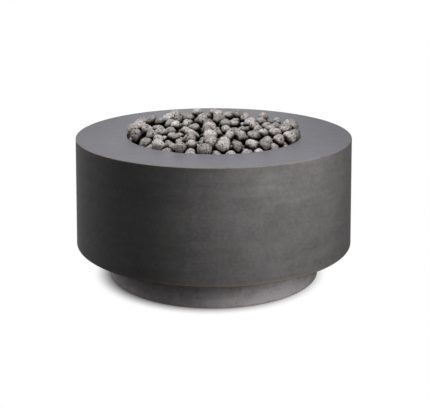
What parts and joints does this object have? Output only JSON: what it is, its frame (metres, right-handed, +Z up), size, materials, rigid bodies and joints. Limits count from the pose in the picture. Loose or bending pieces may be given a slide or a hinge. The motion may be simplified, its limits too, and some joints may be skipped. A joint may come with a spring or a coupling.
{
  "type": "concrete fire bowl",
  "caption": "Round concrete fire bowl: a flat-topped drum on a set-back plinth, with a gas burner under a heap of lava stones and a control niche in the back.",
  "frame": {"origin": "centre of the plinth's footprint on the floor", "axes": "+Z up, -Y the plain front that the picture shows, +Y the back with the control niche"},
  "size_m": [0.9852, 0.9848, 0.5508],
  "materials": {
    "drum_concrete": "matte",
    "plinth_concrete": "matte",
    "pad_rubber": "matte",
    "zinc_steel": "satin",
    "stainless": "satin",
    "fitting_brass": "satin",
    "hose_steel": "satin",
    "knob_plastic": "matte",
    "igniter_plastic": "matte",
    "bezel_chrome": "polished",
    "battery_can": "gloss",
    "button_plastic": "satin",
    "lead_rubber": "matte",
    "electrode_ceramic": "matte",
    "lead_copper": "satin",
    "lava_stone": "matte"
  },
  "bodies": {
    "fixed": {"drum_shell": "drum_concrete", "plinth_ring": "plinth_concrete", "foot_pads": "pad_rubber", "carrier_brackets": "zinc_steel", "carrier_bolts": "zinc_steel", "cast_in_inserts": "zinc_steel", "fire_pan": "stainless", "ring_burner": "stainless", "burner_standoffs": "stainless", "inlet_nipple": "fitting_brass", "pan_locknuts": "fitting_brass", "air_mixer": "fitting_brass", "inlet_elbow": "fitting_brass", "hose_nuts": "fitting_brass", "gas_hose": "hose_steel", "control_panel": "stainless", "panel_bolts": "zinc_steel", "panel_inserts": "zinc_steel", "valve_body": "fitting_brass", "valve_screws": "zinc_steel", "igniter_barrel": "igniter_plastic", "igniter_nut": "bezel_chrome", "igniter_battery": "battery_can", "igniter_lead": "lead_rubber", "electrode_insulator": "electrode_ceramic", "electrode_wire": "stainless", "thermocouple_probe": "stainless", "thermocouple_lead": "lead_copper", "sensor_nuts": "zinc_steel", "lava_stones_bed": "lava_stone", "lava_stones_top": "lava_stone"},
    "gas_plug": {"valve_plug": "fitting_brass"},
    "knob": {"control_knob": "knob_plastic", "valve_stem": "stainless"},
    "igniter_cap": {"igniter_button": "button_plastic"}
  },
  "joints": [
    {"name": "knob_turn", "type": "hinge", "parent": "fixed", "child": "gas_plug", "pos_m": [-0.045, 0.43926, 0.3], "axis": [0, 1, 0], "range_deg": [0, 180]},
    {"name": "knob_push", "type": "slide", "parent": "gas_plug", "child": "knob", "axis": [0, -1, 0], "range_m": [0, 0.004], "stiffness_N_per_m": 1500, "springref_m": -0.003},
    {"name": "igniter_press", "type": "slide", "parent": "fixed", "child": "igniter_cap", "axis": [0, -1, 0], "range_m": [0, 0.004], "stiffness_N_per_m": 1200, "springref_m": -0.003}
  ]
}
